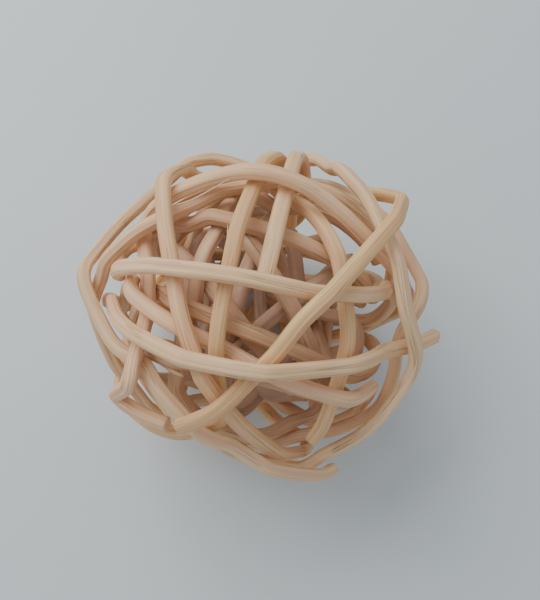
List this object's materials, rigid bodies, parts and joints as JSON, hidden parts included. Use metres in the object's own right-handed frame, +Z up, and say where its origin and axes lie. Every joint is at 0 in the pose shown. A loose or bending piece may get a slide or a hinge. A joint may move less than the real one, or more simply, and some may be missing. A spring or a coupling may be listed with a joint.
{
  "type": "wound rattan ball",
  "caption": "Open, hollow decorative ball wound from lengths of peeled rattan reed that cross over and under each other, with one free end standing out.",
  "frame": {"origin": "on the surface the ball rests on, under the middle of its bounding box", "axes": "+Z up from the small flat spot, +X towards the free end that stands out, +Y towards the far side of the ball"},
  "size_m": [0.0844, 0.0832, 0.0779],
  "materials": {
    "peeled_rattan": "matte"
  },
  "bodies": {
    "root": {"rim_reed": "peeled_rattan", "kinked_reed": "peeled_rattan", "stub_reed": "peeled_rattan", "upright_reed": "peeled_rattan", "diagonal_reed": "peeled_rattan", "tucked_reed": "peeled_rattan", "inner_reed_1": "peeled_rattan", "inner_reed_2": "peeled_rattan", "inner_reed_3": "peeled_rattan", "inner_reed_4": "peeled_rattan", "inner_reed_5": "peeled_rattan", "inner_reed_6": "peeled_rattan", "inner_reed_7": "peeled_rattan", "inner_reed_8": "peeled_rattan"}
  },
  "joints": []
}
